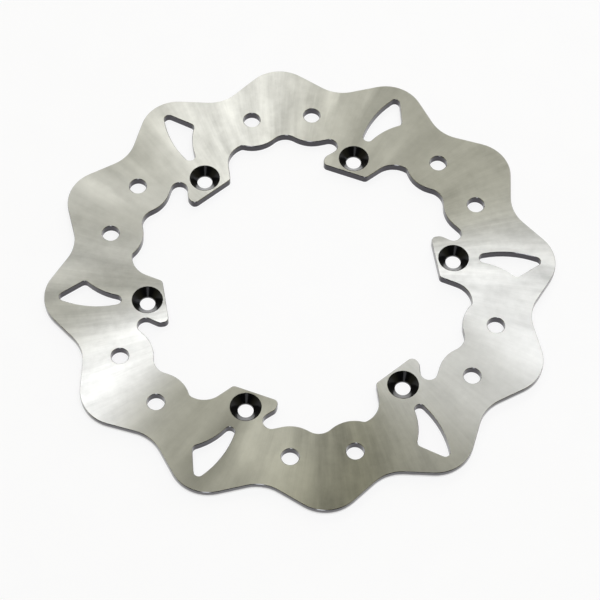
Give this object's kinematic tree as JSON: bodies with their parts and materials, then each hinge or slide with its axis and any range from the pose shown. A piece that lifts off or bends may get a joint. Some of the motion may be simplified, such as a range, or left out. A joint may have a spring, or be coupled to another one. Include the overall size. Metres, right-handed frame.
{
  "type": "brake disc",
  "caption": "Flat brake disc with a wavy rim, slanted vent slots, small round holes in pairs and black countersunk bolt seats on inward ears.",
  "frame": {"origin": "centre of the bolt circle, on the flat back face that sits on the hub", "axes": "+Z along the disc's axis, out of the countersunk front face; +X through the middle of one bolt seat"},
  "size_m": [0.2196, 0.2196, 0.004],
  "materials": {
    "ground_steel": "ground faces, radial grinding lines, dark cut edges",
    "black_seat": "gloss black"
  },
  "bodies": {
    "root": {"wave_disc": "ground_steel", "bolt_seat_1": "black_seat", "bolt_seat_2": "black_seat", "bolt_seat_3": "black_seat", "bolt_seat_4": "black_seat", "bolt_seat_5": "black_seat", "bolt_seat_6": "black_seat"}
  },
  "joints": []
}
